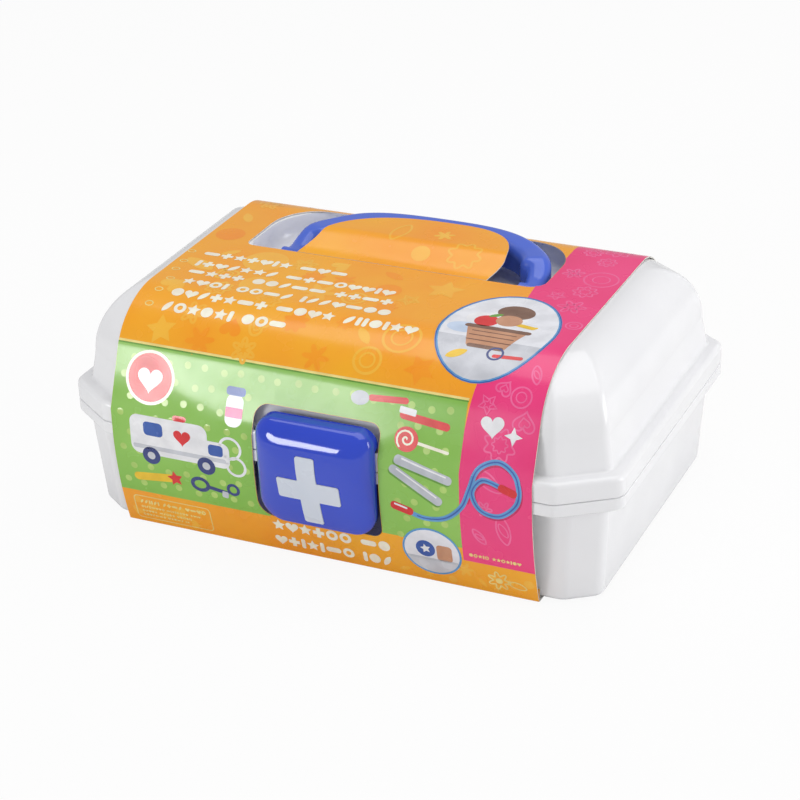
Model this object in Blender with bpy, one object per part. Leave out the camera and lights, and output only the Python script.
"""Toy doctor case: an octagonal two-part plastic case with a carry handle, a front latch and a card
sleeve wrapped round it. Metres, +Z up, +X along the case, -Y to its front. The origin is on the face
that the case stands on, under the centre of its rim."""
import math

import bmesh
import bpy
from mathutils import Vector

# fits
CLEARANCE = 0.0003
RUN_GAP = 0.0004
OVERRUN = 0.003
SMOOTH_ANGLE = math.radians(32.0)

# plan of the rim: an octagon with long sides and short corner facets
RIM_LENGTH = 0.270
RIM_DEPTH = 0.178
FACET_LENGTH = 0.025
FACET_DEPTH = 0.0175
FACET_FADE = 0.032
CORNER_RADIUS = 0.007
CORNER_STEPS = 3

# walls and heights of the case
WALL = 0.0022
CARD = 0.0005
RIM_BOTTOM = 0.048
BASE_RIM = 0.006
LID_RIM = 0.010
RIM_ROUND = 0.0025
EDGE_ROUND = 0.0006
OVERHANG = 0.0064
TUCK_GAP = 0.0011
BASE_ROUND = 0.0032
BASE_FACET_LENGTH = 0.0140
BASE_FACET_DEPTH = 0.0098
BASE_ROUND_STEPS = 4
LID_WALL = 0.014
LID_DRAFT = 0.0022
SHOULDER_RISE = 0.0295
SHOULDER_RUN_FRONT = 0.0364
SHOULDER_RUN_BACK = 0.0280
SHOULDER_RUN_END = 0.0230
SHOULDER_STEPS = 9
UPSTAND = 0.003
UPSTAND_WALL = 0.0016
PAD_SHARE = 0.82
PAD_INSET = 0.032
PAD_STEPS = 20

# hinge at the back
HINGE_PLACE = 0.070
HINGE_OUT = 0.0020
KNUCKLE_RADIUS = 0.0028
KNUCKLE_STEPS = 12
LID_KNUCKLE = 0.012
BASE_KNUCKLE = 0.007
GUSSET = 0.0048
HINGE_PIN_RADIUS = 0.0012

# carry handle, folded back in its recess
HANDLE_HALF_WIDTH = 0.066
HANDLE_REACH = 0.0452
HANDLE_POWER = 2.7
LEG_WIDTH = 0.0108
GRIP_WIDTH = 0.0145
FOOT_RADIUS = 0.0045
GRIP_RISE = 0.0055
GRIP_ARCH = 0.0020
ARCH_START = 0.0300
ARCH_LENGTH = 0.0150
GRIP_LIFT = 0.0025
RISE_START = 0.0042
RISE_LENGTH = 0.018
STEP_START = 0.0150
STEP_LENGTH = 0.0050
HANDLE_CROWN = 0.0046
HANDLE_UNDER_ROUND = 0.0014
HANDLE_STEPS = 44
CHANNEL_WIDTH = 0.0070
CHANNEL_DEPTH = 0.0060
CHANNEL_START_SHARE = 0.17
PIVOT_Y = 0.0118
PIVOT_DROP = 0.0050
FOOT_STEPS = 20
LUG_WIDTH = 0.0050
LUG_RADIUS = 0.0028
FORK_ROOF = 0.0012
HANDLE_PIN_RADIUS = 0.0012
PIN_HEAD_RADIUS = 0.0022
PIN_HEAD = 0.0006

# recess in the lid for the handle
RECESS_DEPTH = 0.0125
RECESS_BESIDE = 0.016
RECESS_BEFORE = 0.0021
RECESS_BEHIND = 0.0030
RECESS_FRONT_RADIUS = 0.010
RECESS_BACK_RADIUS = 0.030
RECESS_SLOPE = 0.008
RECESS_STEPS = 4
ROUND_CORNER_STEPS = 6

# latch on the front
LATCH_HALF_WIDTH = 0.0285
LATCH_BOTTOM = 0.0215
LATCH_TOP = 0.0738
LATCH_DEPTH = 0.0121
LATCH_RIDGE = 0.0640
LATCH_SLOPE = 0.85
LATCH_SLOPE_POWER = 1.15
LATCH_TOP_RADIUS = 0.008
LATCH_FOOT_RADIUS = 0.012
LATCH_WALL = 0.0018
LATCH_BAND = 0.0014
BROW_IN = 0.0030
LATCH_SIDE_POWER = 5.0
LATCH_FOOT_POWER = 6.0
LATCH_BROW_POWER = 2.4
LATCH_RING_SHARES = (1.0, 0.97, 0.91, 0.83, 0.73, 0.61, 0.45, 0.25, 0.1)
LATCH_CORNER_STEPS = 5
LATCH_AXIS_DROP = 0.0053
LATCH_AXIS_IN = 0.0010
EAR_PLACE = 0.018
EAR_WIDTH = 0.005
EAR_RADIUS = 0.0024
EAR_STEPS = 16
EYE_WIDTH = 0.004
LATCH_PIN_RADIUS = 0.0011
BEAD_WIDTH = 0.016
BEAD_HEIGHT = 0.0022
BEAD_DROP = 0.0010

# cross let into the latch
CROSS_SPAN = 0.0325
CROSS_ARM = 0.009
CROSS_ROUND = 0.0012
CROSS_DEPTH = 0.0008
CROSS_PROUD = 0.0002
CROSS_RISE = 0.0235

# card sleeve
SLEEVE_LEFT_SHARE = 0.3907
SLEEVE_RIGHT_SHARE = 0.3730
SLEEVE_ARC_STEPS = 8
TUCK_HEIGHT = 0.006
BACK_SLIT_ABOVE = 0.004
BACK_SLIT_BELOW = 0.006
SLOT_CENTRE = -0.0075
SLOT_BESIDE = 0.0095
SLOT_BEHIND = 0.0005
SLOT_BACK_RADIUS = 0.024
SLOT_LEFT_RADIUS = 0.004
SLOT_RIGHT_RADIUS = 0.008
WINDOW_CENTRE = -0.0015
WINDOW_HALF_WIDTH = 0.0315
WINDOW_BOTTOM = 0.0193
WINDOW_TOP = 0.077
WINDOW_RADIUS = 0.010

# flap of card that lies on the handle
FLAP_TIP = 0.0060
FLAP_LEFT = 0.0635
FLAP_RIGHT = 0.0395
FLAP_ROOT_SHIFT = 0.0045
FLAP_REACH = 0.0412
FLAP_LEFT_POWER = 2.45
FLAP_RIGHT_POWER = 3.0
FLAP_RAMP = 0.013
FLAP_GAP = 0.0005
FLAP_STEPS = 14

# places that follow from the sizes
TUB_BOTTOM = CARD + CLEARANCE
PARTING = RIM_BOTTOM + BASE_RIM
LAND = PARTING - CLEARANCE / 2
LID_FOOT = PARTING + CLEARANCE / 2
LEDGE = PARTING + LID_RIM
SHOULDER = LEDGE + LID_WALL
LID_TOP = SHOULDER + SHOULDER_RISE
WALL_INSET = OVERHANG + LID_DRAFT
RIM_FACE = RIM_DEPTH / 2
HINGE_Y = RIM_FACE + HINGE_OUT
KNUCKLE_BORE = HINGE_PIN_RADIUS + CLEARANCE
PIVOT_Z = LID_TOP - PIVOT_DROP
HANDLE_TOP = PIVOT_Z + FOOT_RADIUS + GRIP_RISE + GRIP_ARCH
HANDLE_BACK = PIVOT_Y + HANDLE_REACH
LEG_CENTRE = HANDLE_HALF_WIDTH - LEG_WIDTH / 2
RECESS_FLOOR = LID_TOP - RECESS_DEPTH
RECESS_HALF_WIDTH = HANDLE_HALF_WIDTH + RECESS_BESIDE
HANDLE_BORE = HANDLE_PIN_RADIUS + CLEARANCE
LATCH_BACK = -RIM_FACE - RUN_GAP
BROW_BACK = -RIM_FACE + BROW_IN
LATCH_AXIS_Z = LATCH_TOP - LATCH_AXIS_DROP
LATCH_AXIS_Y = -RIM_FACE + LATCH_AXIS_IN
LATCH_BORE = LATCH_PIN_RADIUS + CLEARANCE
LATCH_MIDDLE = (LATCH_TOP + LATCH_BOTTOM) / 2
EYE_PLACE = EAR_PLACE + EAR_WIDTH / 2 + RUN_GAP + EYE_WIDTH / 2
SLEEVE_TOP = LID_TOP + CLEARANCE
SLEEVE_LEFT = -RIM_LENGTH * SLEEVE_LEFT_SHARE
SLEEVE_RIGHT = RIM_LENGTH * SLEEVE_RIGHT_SHARE
SLOT_FRONT = PIVOT_Y - FOOT_RADIUS - 3 * RUN_GAP
SLOT_HALF_WIDTH = HANDLE_HALF_WIDTH + SLOT_BESIDE
FOLD_CENTRE = FLAP_TIP - FLAP_ROOT_SHIFT + (FLAP_RIGHT - FLAP_LEFT) / 2
SWING_RADIUS = math.hypot(HINGE_Y + RIM_FACE, PARTING - RIM_BOTTOM) + RUN_GAP
FOLD_Y = math.sqrt(SWING_RADIUS ** 2 - (PARTING - CARD) ** 2) - HINGE_Y - CLEARANCE
TUB_FOOT = RIM_FACE - FOLD_Y + CARD + TUCK_GAP


def clear_scene():
    for obj in list(bpy.data.objects):
        bpy.data.objects.remove(obj, do_unlink=True)


def material(name, colour, roughness, metallic=0.0):
    mat = bpy.data.materials.get(name) or bpy.data.materials.new(name)
    mat.use_nodes = True
    shader = mat.node_tree.nodes["Principled BSDF"]
    shader.inputs["Base Color"].default_value = (*colour, 1.0)
    shader.inputs["Roughness"].default_value = roughness
    shader.inputs["Metallic"].default_value = metallic
    return mat


def white_plastic():
    return material("white_plastic", (0.86, 0.86, 0.87), 0.22)


def blue_plastic():
    return material("blue_plastic", (0.05, 0.11, 0.62), 0.16)


def handle_plastic():
    return material("handle_plastic", (0.10, 0.18, 0.62), 0.28)


def cross_plastic():
    return material("cross_plastic", (0.80, 0.82, 0.90), 0.35)


def steel():
    return material("steel", (0.62, 0.62, 0.64), 0.35, 1.0)


def printed_card(name, colour):
    return material(name, colour, 0.30)


def add_mesh(name, points, faces, mat=None, origin=Vector((0.0, 0.0, 0.0))):
    """One object from points in world places, with its origin where it turns or seats."""
    mesh = bpy.data.meshes.new(name)
    mesh.from_pydata([tuple(Vector(p) - origin) for p in points], [], faces)
    bm = bmesh.new()
    bm.from_mesh(mesh)
    bmesh.ops.recalc_face_normals(bm, faces=bm.faces)
    bm.to_mesh(mesh)
    bm.free()
    obj = bpy.data.objects.new(name, mesh)
    obj.location = origin
    bpy.context.collection.objects.link(obj)
    if mat is not None:
        mesh.materials.append(mat)
    mesh.shade_smooth()
    mesh.set_sharp_from_angle(angle=SMOOTH_ANGLE)
    return obj


def loft(name, rings, mat=None, origin=Vector((0.0, 0.0, 0.0))):
    """A closed skin through rings of equally many points, with a cap on the first and the last."""
    count = len(rings[0])
    points = [point for ring in rings for point in ring]
    faces = [tuple(range(count)), tuple(range(len(points) - count, len(points)))]
    for level in range(len(rings) - 1):
        low = level * count
        for i in range(count):
            j = (i + 1) % count
            faces.append((low + i, low + j, low + count + j, low + count + i))
    return add_mesh(name, points, faces, mat, origin)


def helper(obj):
    obj.hide_render = True
    obj.display_type = "WIRE"
    return obj


def boolean(obj, other, operation):
    modifier = obj.modifiers.new(operation.lower() + "_" + other.name, "BOOLEAN")
    modifier.operation = operation
    modifier.solver = "EXACT"
    modifier.object = helper(other)
    return obj


def cut(obj, other):
    return boolean(obj, other, "DIFFERENCE")


def weld(obj, other):
    return boolean(obj, other, "UNION")


def attach(child, parent):
    child.parent = parent
    child.matrix_parent_inverse = parent.matrix_world.inverted()


def joint_empty(name, place):
    empty = bpy.data.objects.new(name, None)
    empty.location = place
    bpy.context.collection.objects.link(empty)
    bpy.context.view_layer.update()
    return empty


def rounded(corners, radii, steps):
    """A closed outline whose corners are arcs. Each corner has a radius of its own."""
    outline = []
    for i, corner in enumerate(corners):
        here = Vector(corner)
        back = (Vector(corners[i - 1]) - here).normalized()
        ahead = (Vector(corners[(i + 1) % len(corners)]) - here).normalized()
        half = back.angle(ahead) / 2
        centre = here + (back + ahead).normalized() * radii[i] / math.sin(half)
        start = here + back * radii[i] / math.tan(half) - centre
        end = here + ahead * radii[i] / math.tan(half) - centre
        sweep = start.angle(end)
        turn = math.copysign(1.0, start.cross(end))
        for step in range(steps + 1):
            angle = turn * sweep * step / steps
            spun = Vector((start.x * math.cos(angle) - start.y * math.sin(angle),
                           start.x * math.sin(angle) + start.y * math.cos(angle)))
            outline.append(centre + spun)
    return outline


def ellipse_arc(centre, run, rise, start, end, steps):
    """Points (inset, height) on an arc. At 0 degrees it is a wall, at 90 the top, at -90 the bottom."""
    angles = [math.radians(start + (end - start) * i / steps) for i in range(steps + 1)]
    return [(centre[0] - run * math.cos(a), centre[1] + rise * math.sin(a)) for a in angles]


def octagon(insets, facet, radius, height):
    """The case's outline at a height, drawn in at its ends, front and back, with cut corners."""
    end, front, back = insets
    half_x, low_y, high_y = RIM_LENGTH / 2 - end, front - RIM_DEPTH / 2, RIM_DEPTH / 2 - back
    cut_x, cut_y = facet
    corners = [(half_x, low_y + cut_y), (half_x, high_y - cut_y),
               (half_x - cut_x, high_y), (-half_x + cut_x, high_y),
               (-half_x, high_y - cut_y), (-half_x, low_y + cut_y),
               (-half_x + cut_x, low_y), (half_x - cut_x, low_y)]
    outline = rounded(corners, [radius] * len(corners), CORNER_STEPS)
    return [(p.x, p.y, height) for p in outline]


def lid_ring(end, front, back, height):
    """A ring of the lid. Its facets fade towards the top."""
    fade = FACET_FADE / (FACET_FADE + end)
    return octagon((end, front, back), (FACET_LENGTH * fade, FACET_DEPTH * fade),
                   CORNER_RADIUS * fade, height)


def base_ring(inset, height):
    """A ring of the base. Its rim matches the lid's and its wall has smaller facets."""
    if inset < OVERHANG:
        return lid_ring(inset, inset, inset, height)
    return octagon((inset, inset, inset), (BASE_FACET_LENGTH, BASE_FACET_DEPTH), CORNER_RADIUS, height)


def base_profile():
    """From the middle of the underside, up the outside, over the rim and down to the inner floor."""
    foot = TUB_FOOT
    profile = ellipse_arc((foot + BASE_ROUND, TUB_BOTTOM + BASE_ROUND), BASE_ROUND, BASE_ROUND,
                          -90.0, 0.0, BASE_ROUND_STEPS)
    profile += [(OVERHANG, LAND - WALL), (WALL, LAND - WALL), (WALL, RIM_BOTTOM)]
    profile += [(EDGE_ROUND, RIM_BOTTOM), (0.0, RIM_BOTTOM + EDGE_ROUND)]
    profile += [(0.0, LAND - EDGE_ROUND), (EDGE_ROUND, LAND)]
    lip = WALL + RUN_GAP
    profile += [(lip, LAND), (lip, LAND + UPSTAND - EDGE_ROUND), (lip + EDGE_ROUND, LAND + UPSTAND)]
    profile += [(lip + UPSTAND_WALL, LAND + UPSTAND), (lip + UPSTAND_WALL, LAND)]
    profile += [(OVERHANG + WALL - EDGE_ROUND, LAND), (OVERHANG + WALL, LAND - EDGE_ROUND)]
    profile += [(foot + WALL, TUB_BOTTOM + BASE_ROUND)]
    inner = BASE_ROUND - WALL
    profile += ellipse_arc((foot + BASE_ROUND, TUB_BOTTOM + BASE_ROUND), inner, inner,
                           0.0, -90.0, BASE_ROUND_STEPS)[1:]
    return profile


def dome_rings(depth, start, end):
    """Rings of the lid's dome at a depth below its face. At 0 degrees they are its wall, at 90 its top."""
    runs = (SHOULDER_RUN_END, SHOULDER_RUN_FRONT, SHOULDER_RUN_BACK)
    rings = []
    for i in range(SHOULDER_STEPS + 1):
        angle = math.radians(start + (end - start) * i / SHOULDER_STEPS)
        insets = [WALL_INSET + run - (run - depth) * math.cos(angle) for run in runs]
        rings.append(lid_ring(*insets, SHOULDER + (SHOULDER_RISE - depth) * math.sin(angle)))
    return rings


def lid_rings():
    """From the middle of the ceiling, down the inside, round the rim and up over the shoulder."""
    low = [(OVERHANG + WALL, LEDGE - WALL), (WALL, LEDGE - WALL), (WALL, LID_FOOT)]
    low += [(EDGE_ROUND, LID_FOOT), (0.0, LID_FOOT + EDGE_ROUND)]
    low += ellipse_arc((RIM_ROUND, LEDGE - RIM_ROUND), RIM_ROUND, RIM_ROUND, 0.0, 90.0, CORNER_STEPS)
    low += [(OVERHANG - EDGE_ROUND, LEDGE), (OVERHANG, LEDGE + EDGE_ROUND)]
    rim = [lid_ring(inset, inset, inset, height) for inset, height in low]
    return dome_rings(WALL, 90.0, 0.0) + rim + dome_rings(0.0, 0.0, 90.0)


def rod(name, place, radius, length, steps, mat=None, origin=None):
    """A round bar along X."""
    rings = []
    for side in (-length / 2, length / 2):
        ring = []
        for i in range(steps):
            angle = math.tau * i / steps
            ring.append((place[0] + side, place[1] + radius * math.cos(angle),
                         place[2] + radius * math.sin(angle)))
        rings.append(ring)
    return loft(name, rings, mat, origin or Vector(place))


def bar(name, outline, start, end, mat=None):
    """A solid with an outline in Y and Z, pulled along X."""
    return loft(name, [[(x, y, z) for y, z in outline] for x in (start, end)], mat)


def block(name, low, high, mat=None):
    outline = [(low[1], low[2]), (high[1], low[2]), (high[1], high[2]), (low[1], high[2])]
    return bar(name, outline, low[0], high[0], mat)


def prism(name, outline, low, high, mat=None):
    """A solid with an outline in X and Y, pulled up along Z."""
    return loft(name, [[(p[0], p[1], z) for p in outline] for z in (low, high)], mat)


def knuckle(name, centre, width, upward):
    """A hinge knuckle with its gusset to the rim: up on the lid, down on the base."""
    sign = 1.0 if upward else -1.0
    inside = RIM_FACE - WALL / 2
    outline = [(inside, PARTING + sign * GUSSET)]
    for i in range(KNUCKLE_STEPS + 1):
        angle = math.pi * (0.25 - i / KNUCKLE_STEPS) * sign
        outline.append((HINGE_Y + KNUCKLE_RADIUS * math.cos(angle),
                        PARTING + KNUCKLE_RADIUS * math.sin(angle)))
    outline.append((inside, PARTING + sign * CLEARANCE / 2))
    return bar(name, outline, centre - width / 2, centre + width / 2)


def knuckle_places(side):
    """Centres and widths of one hinge's knuckles: base, lid, base."""
    step = (LID_KNUCKLE + BASE_KNUCKLE) / 2 + CLEARANCE
    middle = side * HINGE_PLACE
    return middle, [middle - step, middle + step]


def cut_knuckle_room(obj, name, centre, width):
    """Room in one rim for a knuckle of the other."""
    place = (centre, HINGE_Y, PARTING)
    room = rod(name, place, KNUCKLE_RADIUS + RUN_GAP, width + 2 * CLEARANCE, 2 * KNUCKLE_STEPS)
    cut(obj, room)


def pin_hole(obj, name, place, radius, length):
    cut(obj, rod(name, place, radius, length, FOOT_STEPS))


def pad_outline(side, row):
    """A round pad beside the sleeve. The case stands on four of them."""
    inner, outer = max(-SLEEVE_LEFT, SLEEVE_RIGHT), RIM_LENGTH / 2 - TUB_FOOT - BASE_ROUND
    radius = (outer - inner) / 2 * PAD_SHARE
    x, y = side * (inner + outer) / 2, row * (RIM_FACE - PAD_INSET)
    angles = [math.tau * i / PAD_STEPS for i in range(PAD_STEPS)]
    return [(x + radius * math.cos(a), y + radius * math.sin(a)) for a in angles]


def make_base():
    base = loft("base_tub", [base_ring(*point) for point in base_profile()], white_plastic())
    for side, label in ((-1, "left"), (1, "right")):
        middle, outers = knuckle_places(side)
        cut_knuckle_room(base, "base_room_" + label, middle, LID_KNUCKLE)
        for i, centre in enumerate(outers):
            weld(base, knuckle(f"base_knuckle_{label}_{i}", centre, BASE_KNUCKLE, False))
        pin_hole(base, "base_bore_" + label, (middle, HINGE_Y, PARTING), KNUCKLE_BORE,
                 LID_KNUCKLE + 2 * BASE_KNUCKLE + OVERRUN)
        for row, end in ((-1, "front"), (1, "back")):
            disc = pad_outline(side, row)
            weld(base, prism(f"pad_{label}_{end}", disc, 0.0, TUB_BOTTOM + WALL / 2))
    return base


def arch_outline(centre, half_width, front, back, front_radii, back_radius):
    corners = [(centre - half_width, front), (centre + half_width, front),
               (centre + half_width, back), (centre - half_width, back)]
    radii = [*front_radii, back_radius, back_radius]
    return rounded(corners, radii, ROUND_CORNER_STEPS)


def recess_solid(name, grow, top, floor):
    """The dished recess: its walls curve in to its floor."""
    rings = []
    for inset, height in ellipse_arc((RECESS_SLOPE, floor + RECESS_SLOPE), RECESS_SLOPE, RECESS_SLOPE,
                                     -90.0, 0.0, RECESS_STEPS) + [(0.0, top)]:
        drawn = inset - grow
        outline = arch_outline(0.0, RECESS_HALF_WIDTH - drawn, SLOT_FRONT - RECESS_BEFORE + drawn,
                               HANDLE_BACK + RECESS_BEHIND - drawn, (RECESS_FRONT_RADIUS - drawn,) * 2,
                               RECESS_BACK_RADIUS - drawn)
        rings.append([(p.x, p.y, height) for p in outline])
    return loft(name, rings)


def lug_outline():
    """A handle lug: straight up from the recess floor with a round head."""
    head = []
    for i in range(KNUCKLE_STEPS + 1):
        angle = math.pi * i / KNUCKLE_STEPS
        head.append((PIVOT_Y + LUG_RADIUS * math.cos(angle), PIVOT_Z + LUG_RADIUS * math.sin(angle)))
    foot = RECESS_FLOOR - WALL / 2
    return [(PIVOT_Y + LUG_RADIUS, foot)] + head + [(PIVOT_Y - LUG_RADIUS, foot)]


def ear_outline():
    """A latch ear: it stands on the lid's rim and has a round head."""
    head = []
    for i in range(EAR_STEPS + 1):
        angle = math.pi * i / EAR_STEPS
        head.append((LATCH_AXIS_Y + EAR_RADIUS * math.cos(angle),
                     LATCH_AXIS_Z + EAR_RADIUS * math.sin(angle)))
    foot = LEDGE - WALL / 2
    front = -RIM_FACE + EDGE_ROUND
    return [(LATCH_AXIS_Y + EAR_RADIUS, foot)] + head + [(LATCH_AXIS_Y - EAR_RADIUS, LEDGE), (front, foot)]


def make_lid():
    lid = loft("lid_shell", lid_rings(), white_plastic())
    boss = recess_solid("recess_boss", WALL, LID_TOP, RECESS_FLOOR - WALL)
    boolean(boss, loft("boss_trim", dome_rings(WALL / 2, 0.0, 90.0)), "INTERSECT")
    weld(lid, boss)
    cut(lid, recess_solid("recess_cut", 0.0, LID_TOP + OVERRUN, RECESS_FLOOR))
    for side, label in ((-1, "left"), (1, "right")):
        middle, outers = knuckle_places(side)
        for i, centre in enumerate(outers):
            cut_knuckle_room(lid, f"lid_room_{label}_{i}", centre, BASE_KNUCKLE)
        weld(lid, knuckle("lid_knuckle_" + label, middle, LID_KNUCKLE, True))
        pin_hole(lid, "lid_bore_" + label, (middle, HINGE_Y, PARTING), KNUCKLE_BORE,
                 LID_KNUCKLE + OVERRUN)
        leg = side * LEG_CENTRE
        weld(lid, bar("lug_" + label, lug_outline(), leg - LUG_WIDTH / 2, leg + LUG_WIDTH / 2))
        pin_hole(lid, "lug_bore_" + label, (leg, PIVOT_Y, PIVOT_Z), HANDLE_BORE, LUG_WIDTH + OVERRUN)
        ear = side * EAR_PLACE
        weld(lid, bar("ear_" + label, ear_outline(), ear - EAR_WIDTH / 2, ear + EAR_WIDTH / 2))
        pin_hole(lid, "ear_bore_" + label, (ear, LATCH_AXIS_Y, LATCH_AXIS_Z), LATCH_BORE,
                 EAR_WIDTH + OVERRUN)
    return lid


def make_hinge_pin(label, side):
    middle, outers = knuckle_places(side)
    length = abs(outers[1] - outers[0]) + BASE_KNUCKLE
    return rod("hinge_pin_" + label, (middle, HINGE_Y, PARTING), HINGE_PIN_RADIUS, length,
               FOOT_STEPS, steel())


def handle_edge(start, end):
    """The bail's outer edge: an open superellipse from foot to foot. start and end are shares of it."""
    points = []
    power = 2.0 / HANDLE_POWER
    for i in range(HANDLE_STEPS + 1):
        angle = math.pi * (start + (end - start) * i / HANDLE_STEPS)
        x = HANDLE_HALF_WIDTH * math.copysign(abs(math.cos(angle)) ** power, math.cos(angle))
        points.append(Vector((x, PIVOT_Y + HANDLE_REACH * max(math.sin(angle), 0.0) ** power)))
    return points


def ease(distance, start, length):
    """From 0 to 1 over a length, with no corners."""
    share = min(max((distance - start) / length, 0.0), 1.0)
    return share * share * (3 - 2 * share)


def sweep_section(name, path, section, mat=None, origin=Vector((0.0, 0.0, 0.0))):
    """A section of (inwards, up) points pulled along the bail's outer edge. The section may change."""
    rings = []
    for i, here in enumerate(path):
        before, after = path[max(i - 1, 0)], path[min(i + 1, len(path) - 1)]
        along = (after - before).normalized()
        if here.y - PIVOT_Y < EDGE_ROUND:
            along = Vector((0.0, 1.0 if i == 0 else -1.0))
        inwards = Vector((-along.y, along.x))
        rings.append([(here.x + inwards.x * u, here.y + inwards.y * u, PIVOT_Z + v)
                      for u, v in section(here.y - PIVOT_Y)])
    return loft(name, rings, mat, origin)


def handle_section(distance):
    """A leg at its foot, which widens with a step and rises into the grip."""
    width = LEG_WIDTH + (GRIP_WIDTH - LEG_WIDTH) * ease(distance, STEP_START, STEP_LENGTH)
    rise = ease(distance, RISE_START, RISE_LENGTH)
    arch = GRIP_ARCH * ease(distance, ARCH_START, ARCH_LENGTH)
    low, top = -FOOT_RADIUS + GRIP_LIFT * rise, FOOT_RADIUS + GRIP_RISE * rise + arch
    corners = [(0.0, low), (width, low), (width, top), (0.0, top)]
    radii = [HANDLE_UNDER_ROUND, HANDLE_UNDER_ROUND, HANDLE_CROWN, HANDLE_CROWN]
    return [(p.x, p.y) for p in rounded(corners, radii, CORNER_STEPS)]


def channel_section(grow, floor, mouth):
    """A slot up the middle of the grip, from its mouth below to its floor above."""
    middle, half = GRIP_WIDTH / 2, CHANNEL_WIDTH / 2 + grow
    under = GRIP_LIFT - FOOT_RADIUS
    outline = [(middle - half, under + mouth), (middle + half, under + mouth),
               (middle + half, under + floor), (middle - half, under + floor)]
    return lambda distance: outline


def make_handle():
    pivot = Vector((0.0, PIVOT_Y, PIVOT_Z))
    handle = sweep_section("handle_bail", handle_edge(0.0, 1.0), handle_section, handle_plastic(), pivot)
    for side, label in ((-1, "left"), (1, "right")):
        leg = side * LEG_CENTRE
        weld(handle, rod("foot_" + label, (leg, PIVOT_Y, PIVOT_Z), FOOT_RADIUS, LEG_WIDTH, FOOT_STEPS))
        half_fork = LUG_WIDTH / 2 + CLEARANCE
        low = (leg - half_fork, PIVOT_Y - FOOT_RADIUS - OVERRUN, PIVOT_Z - FOOT_RADIUS - OVERRUN)
        high = (leg + half_fork, PIVOT_Y + LUG_RADIUS + RUN_GAP, PIVOT_Z + FOOT_RADIUS - FORK_ROOF)
        cut(handle, block("fork_" + label, low, high))
        pin_hole(handle, "foot_bore_" + label, (leg, PIVOT_Y, PIVOT_Z), HANDLE_BORE,
                 LEG_WIDTH + OVERRUN)
    path = handle_edge(CHANNEL_START_SHARE, 1.0 - CHANNEL_START_SHARE)
    cut(handle, sweep_section("channel", path, channel_section(0.0, CHANNEL_DEPTH, -OVERRUN)))
    return handle


def make_handle_inlay():
    """The strip that closes the bail's channel from below."""
    pivot = Vector((0.0, PIVOT_Y, PIVOT_Z))
    start = CHANNEL_START_SHARE + CLEARANCE / HANDLE_REACH
    section = channel_section(-CLEARANCE, CHANNEL_DEPTH - CLEARANCE, EDGE_ROUND)
    return sweep_section("handle_inlay", handle_edge(start, 1.0 - start), section, handle_plastic(), pivot)


def make_handle_pin(label, side):
    """A rivet through a foot and its lug, with a low head on each cheek."""
    leg = side * LEG_CENTRE
    place = (leg, PIVOT_Y, PIVOT_Z)
    half = LEG_WIDTH / 2 + CLEARANCE
    stations = [(-half - PIN_HEAD, PIN_HEAD_RADIUS), (-half, PIN_HEAD_RADIUS), (-half, HANDLE_PIN_RADIUS),
                (half, HANDLE_PIN_RADIUS), (half, PIN_HEAD_RADIUS), (half + PIN_HEAD, PIN_HEAD_RADIUS)]
    rings = []
    for along, radius in stations:
        rings.append([(leg + along, PIVOT_Y + radius * math.cos(math.tau * i / FOOT_STEPS),
                       PIVOT_Z + radius * math.sin(math.tau * i / FOOT_STEPS))
                      for i in range(FOOT_STEPS)])
    return loft("handle_pin_" + label, rings, blue_plastic(), Vector(place))


def latch_outline(grow):
    """The latch seen from the front, in X and Z."""
    half = LATCH_HALF_WIDTH + grow
    corners = [(-half, LATCH_BOTTOM - grow), (half, LATCH_BOTTOM - grow),
               (half, LATCH_TOP + grow), (-half, LATCH_TOP + grow)]
    radii = [LATCH_FOOT_RADIUS + grow] * 2 + [LATCH_TOP_RADIUS + grow] * 2
    return rounded(corners, radii, LATCH_CORNER_STEPS)


def latch_swell(height):
    """How far the latch's middle stands out at a height: full at its ridge, sloping in towards its foot."""
    below = max(LATCH_RIDGE - height, 0.0) / (LATCH_RIDGE - LATCH_BOTTOM)
    return (LATCH_DEPTH - LATCH_BAND) * max(1.0 - LATCH_SLOPE * below ** LATCH_SLOPE_POWER, 0.0)


def latch_bulge(share, point, grow):
    """How far the dome stands out at a share of the way from its middle to its edge."""
    above = point.y > LATCH_MIDDLE
    lean = abs(point.y - LATCH_MIDDLE) / (LATCH_TOP - LATCH_MIDDLE)
    edge = LATCH_BROW_POWER if above else LATCH_FOOT_POWER
    power = LATCH_SIDE_POWER + (edge - LATCH_SIDE_POWER) * min(lean, 1.0)
    height = LATCH_MIDDLE + (point.y - LATCH_MIDDLE) * share
    return max(latch_swell(height) + grow, 0.0) * max(1.0 - share ** power, 0.0) ** 0.5


def dome_solid(name, grow, back, mat=None, origin=Vector((0.0, 0.0, 0.0))):
    """The latch's dome, from a straight band at its edge to its middle."""
    middle = Vector((0.0, LATCH_MIDDLE))
    outline = latch_outline(grow)
    rings = [[(p.x, back, p.y) for p in outline]]
    for share in LATCH_RING_SHARES:
        ring = []
        for p in outline:
            here = middle + (p - middle) * share
            ring.append((here.x, LATCH_BACK - LATCH_BAND - latch_bulge(share, p, grow), here.y))
        rings.append(ring)
    return loft(name, rings, mat, origin)


def cross_outline(grow):
    """A cross with equal arms and small rounds at the arms' outer corners."""
    arm, half = CROSS_ARM / 2 + grow, CROSS_SPAN / 2 + grow
    corners = [(-arm, -half), (arm, -half), (arm, -arm), (half, -arm), (half, arm), (arm, arm),
               (arm, half), (-arm, half), (-arm, arm), (-half, arm), (-half, -arm), (-arm, -arm)]
    outer = [abs(x) + abs(z) > 2 * arm + CROSS_ROUND for x, z in corners]
    radii = [CROSS_ROUND if far else CROSS_ROUND / 4 for far in outer]
    middle = Vector((0.0, LATCH_BOTTOM + CROSS_RISE))
    return [p + middle for p in rounded(corners, radii, CORNER_STEPS)]


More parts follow.
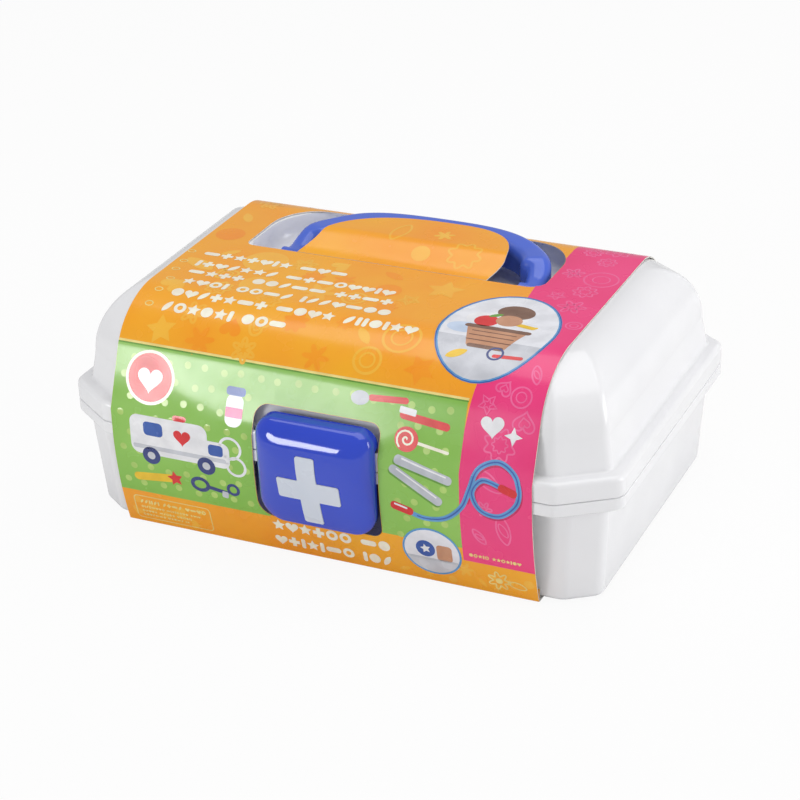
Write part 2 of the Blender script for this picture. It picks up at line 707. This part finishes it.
def cross_prism(name, grow):
    """The cross pulled along Y, through the front of the dome."""
    front, back = LATCH_BACK - LATCH_DEPTH - OVERRUN, LATCH_BACK - LATCH_DEPTH / 2
    return loft(name, [[(p.x, y, p.y) for p in cross_outline(grow)] for y in (front, back)])


def latch_axis():
    return Vector((0.0, LATCH_AXIS_Y, LATCH_AXIS_Z))


def eye_outline():
    """An arm from the dome back to the latch's pin. The dome trims its front."""
    head = []
    for i in range(EAR_STEPS + 1):
        angle = math.pi * (0.5 - i / EAR_STEPS)
        head.append((LATCH_AXIS_Y + EAR_RADIUS * math.cos(angle),
                     LATCH_AXIS_Z + EAR_RADIUS * math.sin(angle)))
    front = LATCH_BACK - LATCH_DEPTH
    return [(front, LATCH_AXIS_Z + EAR_RADIUS)] + head + [(front, LATCH_AXIS_Z - EAR_RADIUS)]


def bead_outline():
    """The snap bead on its rib, behind the dome and just under the base's rim."""
    top = RIM_BOTTOM - BEAD_DROP
    tip = -RIM_FACE - CLEARANCE
    low_root, high_root = (LATCH_BACK - LATCH_BAND - latch_swell(height) + LATCH_WALL / 2
                           for height in (top - 2 * BEAD_HEIGHT, top))
    return [(low_root, top - 2 * BEAD_HEIGHT), (tip - BEAD_HEIGHT, top - BEAD_HEIGHT),
            (tip, top - BEAD_HEIGHT), (tip, top - BEAD_HEIGHT / 2), (tip - BEAD_HEIGHT / 2, top),
            (high_root, top)]


def make_latch():
    latch = dome_solid("latch_cover", 0.0, BROW_BACK, blue_plastic(), latch_axis())
    cut(latch, dome_solid("latch_hollow", -LATCH_WALL, BROW_BACK + OVERRUN))
    low = (-RIM_FACE, LATCH_BACK, LATCH_BOTTOM - OVERRUN)
    high = (RIM_FACE, BROW_BACK + OVERRUN, LEDGE + 2 * RUN_GAP)
    cut(latch, block("under_brow", low, high))
    for side, label in ((-1, "left"), (1, "right")):
        eye = side * EYE_PLACE
        arm = bar("eye_" + label, eye_outline(), eye - EYE_WIDTH / 2, eye + EYE_WIDTH / 2)
        boolean(arm, dome_solid("eye_trim_" + label, -LATCH_WALL / 2, -RIM_FACE + OVERHANG), "INTERSECT")
        weld(latch, arm)
        pin_hole(latch, "eye_bore_" + label, (eye, LATCH_AXIS_Y, LATCH_AXIS_Z), LATCH_BORE,
                 EYE_WIDTH + 2 * RUN_GAP)
    weld(latch, bar("bead", bead_outline(), -BEAD_WIDTH / 2, BEAD_WIDTH / 2))
    pocket = cross_prism("cross_pocket", 0.0)
    cut(pocket, dome_solid("pocket_floor", -CROSS_DEPTH, BROW_BACK))
    cut(latch, pocket)
    return latch


def make_cross():
    cross = cross_prism("latch_cross", -CLEARANCE)
    cross.data.materials.append(cross_plastic())
    cut(cross, dome_solid("cross_seat", -CROSS_DEPTH + CLEARANCE, BROW_BACK))
    boolean(cross, dome_solid("cross_face", CROSS_PROUD, BROW_BACK), "INTERSECT")
    return cross


def make_latch_pin():
    length = 2 * EYE_PLACE + EYE_WIDTH
    return rod("latch_pin", tuple(latch_axis()), LATCH_PIN_RADIUS, length, EAR_STEPS, steel())


def sheet(name, line, start, end, mat):
    """Card along a line in Y and Z, thick towards the line's left, from start to end along X."""
    outer = []
    for i, here in enumerate(line):
        before, after = Vector(line[max(i - 1, 0)]), Vector(line[min(i + 1, len(line) - 1)])
        sides = [(Vector(here) - before), (after - Vector(here))]
        normals = [Vector((-s.y, s.x)).normalized() for s in sides if s.length > 0.0]
        normal = sum(normals, Vector((0.0, 0.0))).normalized()
        outer.append(Vector(here) + normal * CARD / normal.dot(normals[0]))
    points, faces = [], []
    for (y, z), out in zip(line, outer):
        points += [(start, y, z), (end, y, z), (end, out.x, out.y), (start, out.x, out.y)]
    for i in range(len(line) - 1):
        a = 4 * i
        for j in range(4):
            k = (j + 1) % 4
            faces.append((a + j, a + k, a + 4 + k, a + 4 + j))
    last = len(points) - 4
    faces += [(0, 1, 2, 3), tuple(range(last, last + 4))]
    return add_mesh(name, points, faces, mat)


def shoulder_line(side, run):
    """The lid's shoulder in Y and Z, a clearance off it, from its wall to its top."""
    centre = (WALL_INSET + run, SHOULDER)
    arc = ellipse_arc(centre, run + CLEARANCE, SHOULDER_RISE + CLEARANCE, 0.0, 90.0, 2 * SHOULDER_STEPS)
    return [(side * (RIM_FACE - inset), height) for inset, height in arc]


def taut(point, arc):
    """The part of an arc that card pulled tight from a point lies on."""
    def lean(i):
        return abs(arc[i][0] - point[0]) / (arc[i][1] - point[1])
    touch = min(range(len(arc) // 2), key=lean)
    return arc[touch:]


def front_panel():
    """Up the front: an arc about the lid's hinge, so it swings past the rim, then the rim's face."""
    low = TUB_BOTTOM - CLEARANCE
    heights = [low + (RIM_BOTTOM - low) * i / SLEEVE_ARC_STEPS for i in range(SLEEVE_ARC_STEPS + 1)]
    line = [(HINGE_Y - math.sqrt(SWING_RADIUS ** 2 - (PARTING - z) ** 2), z) for z in heights]
    return line + [(-RIM_FACE - CLEARANCE, LEDGE - RIM_ROUND)]


def back_face():
    return HINGE_Y + KNUCKLE_RADIUS + CLEARANCE


def make_sleeve_upper():
    """Front, top and upper back panels, which go with the lid."""
    rise = front_panel()
    line = rise + taut(rise[-1], shoulder_line(-1, SHOULDER_RUN_FRONT))
    tail = (back_face(), PARTING + BACK_SLIT_ABOVE)
    line += list(reversed(taut(tail, shoulder_line(1, SHOULDER_RUN_BACK)))) + [tail]
    sleeve = sheet("sleeve_upper", line, SLEEVE_LEFT, SLEEVE_RIGHT, printed_card("print", (0.95, 0.42, 0.05)))
    slot = arch_outline(SLOT_CENTRE, SLOT_HALF_WIDTH, SLOT_FRONT, HANDLE_BACK + SLOT_BEHIND,
                        (SLOT_LEFT_RADIUS, SLOT_RIGHT_RADIUS), SLOT_BACK_RADIUS)
    cut(sleeve, prism("slot_cut", slot, RECESS_FLOOR, HANDLE_TOP))
    corners = [(WINDOW_CENTRE - WINDOW_HALF_WIDTH, WINDOW_BOTTOM),
               (WINDOW_CENTRE + WINDOW_HALF_WIDTH, WINDOW_BOTTOM),
               (WINDOW_CENTRE + WINDOW_HALF_WIDTH, WINDOW_TOP),
               (WINDOW_CENTRE - WINDOW_HALF_WIDTH, WINDOW_TOP)]
    window = rounded(corners, [WINDOW_RADIUS] * 4, ROUND_CORNER_STEPS)
    middle = -RIM_FACE + WALL_INSET + WALL
    cut(sleeve, loft("window_cut", [[(p.x, y, p.y) for p in window]
                                    for y in (-RIM_FACE - OVERRUN, middle)]))
    return sleeve


def make_sleeve_lower():
    """Lower back and bottom panels and the tuck behind the front panel, which stay on the base."""
    line = [(back_face(), PARTING - BACK_SLIT_BELOW), (FOLD_Y, CARD), (-FOLD_Y + CARD, CARD),
            (-FOLD_Y + CARD, CARD + TUCK_HEIGHT)]
    return sheet("sleeve_lower", line, SLEEVE_LEFT, SLEEVE_RIGHT, printed_card("print_low", (0.95, 0.5, 0.1)))


def flap_height(distance):
    """The flap ramps up from its fold to lie on the handle."""
    return SLEEVE_TOP + (HANDLE_TOP + FLAP_GAP - SLEEVE_TOP) * ease(distance, 0.0, FLAP_RAMP)


def flap_sides(share):
    """The flap's left and right edge: a D that is fuller on the right and set a little left at its root."""
    shift = FLAP_TIP - FLAP_ROOT_SHIFT * (1.0 - ease(FLAP_REACH * share, 0.0, FLAP_RAMP))
    left = FLAP_LEFT * (1.0 - share ** FLAP_LEFT_POWER) ** (1.0 / FLAP_LEFT_POWER)
    right = FLAP_RIGHT * (1.0 - share ** FLAP_RIGHT_POWER) ** (1.0 / FLAP_RIGHT_POWER)
    return shift - left, shift + right


def make_flap():
    """The D-shaped flap of card, cut out of the slot and folded up over the handle."""
    points, faces = [], []
    for i in range(FLAP_STEPS + 1):
        share = math.sin(math.pi / 2 * i / (FLAP_STEPS + 1))
        left, right = flap_sides(share)
        y = SLOT_FRONT + CLEARANCE + FLAP_REACH * share
        for x, up in ((left, 0.0), (right, 0.0), (right, CARD), (left, CARD)):
            points.append((x, y, flap_height(FLAP_REACH * share) + up))
    for i in range(FLAP_STEPS):
        a = 4 * i
        for j in range(4):
            k = (j + 1) % 4
            faces.append((a + j, a + k, a + 4 + k, a + 4 + j))
    last = len(points) - 4
    faces += [(0, 1, 2, 3), tuple(range(last, last + 4))]
    fold = Vector((FOLD_CENTRE, SLOT_FRONT, SLEEVE_TOP + CARD))
    return add_mesh("sleeve_flap", points, faces, printed_card("print_flap", (0.98, 0.55, 0.12)), fold)


def main():
    clear_scene()
    lid_axis = joint_empty("lid_axis", (0.0, HINGE_Y, PARTING))
    handle_axis = joint_empty("handle_axis", (0.0, PIVOT_Y, PIVOT_Z))
    latch_hinge = joint_empty("latch_hinge", latch_axis())
    make_base()
    make_sleeve_lower()
    for side, label in ((-1, "left"), (1, "right")):
        make_hinge_pin(label, side)
        attach(make_handle_pin(label, side), lid_axis)
    for obj in (make_lid(), make_sleeve_upper(), make_latch_pin(), make_flap()):
        attach(obj, lid_axis)
    for obj in (make_handle(), make_handle_inlay()):
        attach(obj, handle_axis)
    for obj in (make_latch(), make_cross()):
        attach(obj, latch_hinge)
    attach(handle_axis, lid_axis)
    attach(latch_hinge, lid_axis)


main()
